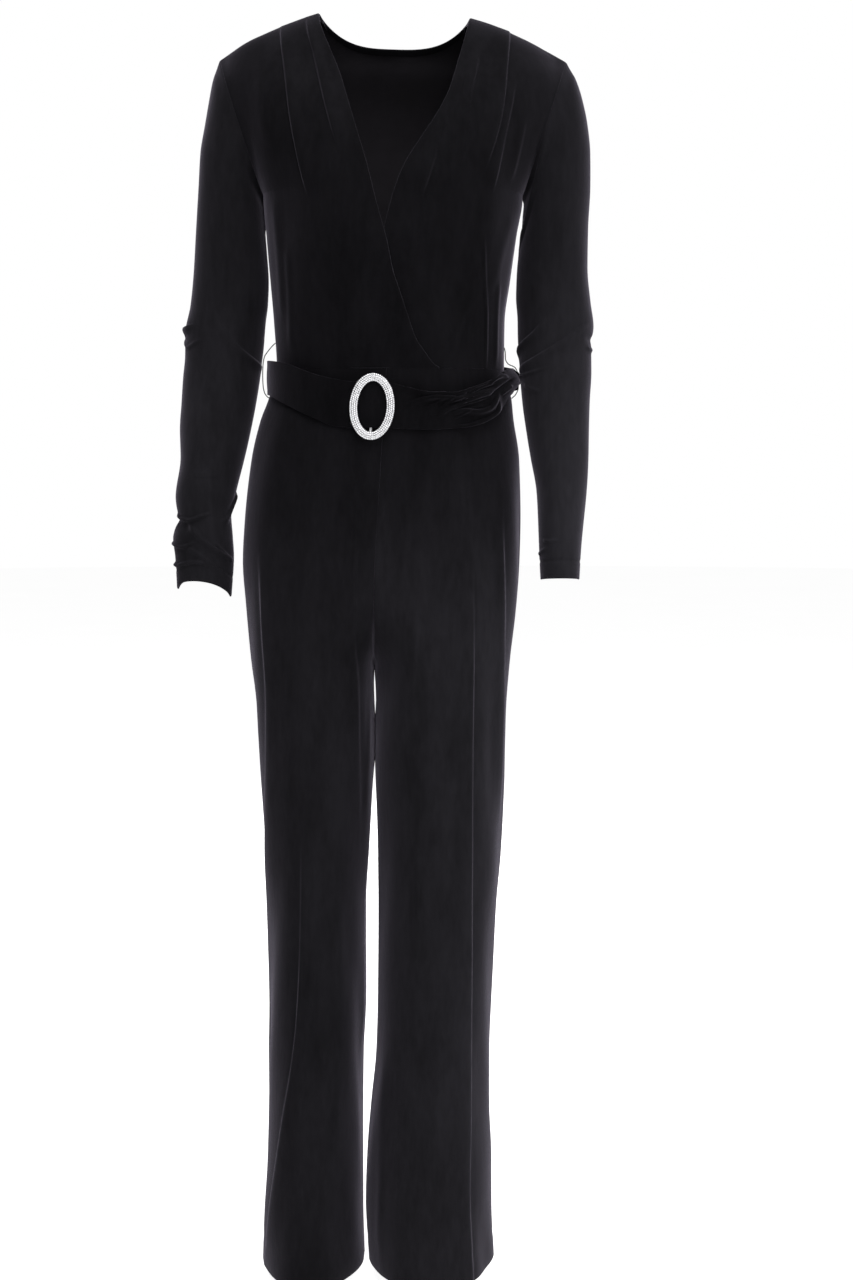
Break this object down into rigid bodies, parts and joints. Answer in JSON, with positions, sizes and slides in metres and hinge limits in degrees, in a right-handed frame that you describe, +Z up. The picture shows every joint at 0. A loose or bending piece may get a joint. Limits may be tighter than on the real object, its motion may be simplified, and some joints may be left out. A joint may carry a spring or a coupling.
{
  "type": "wrap jumpsuit",
  "caption": "Long-sleeved wrap-front velvet jumpsuit in worn form, with a deep V neck, shoulder pleats, full straight legs and a fabric belt with an oval stone-set buckle.",
  "frame": {"origin": "between the two neck points of the shoulder seams, where the wearer's shoulders carry the garment", "axes": "+Z up along the wearer, -Y the way the wearer faces, +X towards the wearer's left"},
  "size_m": [0.4921, 0.2528, 1.4739],
  "materials": {
    "velvet": "black velvet pile",
    "thread": "black chained thread",
    "silver": "silver plate set with clear stones"
  },
  "bodies": {
    "root": {"front_bodice_right": "velvet", "front_bodice_left": "velvet", "back_bodice": "velvet", "sleeve_right": "velvet", "sleeve_left": "velvet", "trouser_front_right": "velvet", "trouser_front_left": "velvet", "trouser_back_right": "velvet", "trouser_back_left": "velvet", "belt_front": "velvet", "belt_back": "velvet", "belt_loop_right": "thread", "belt_loop_left": "thread", "buckle": "silver", "buckle_bar": "silver"}
  },
  "joints": []
}
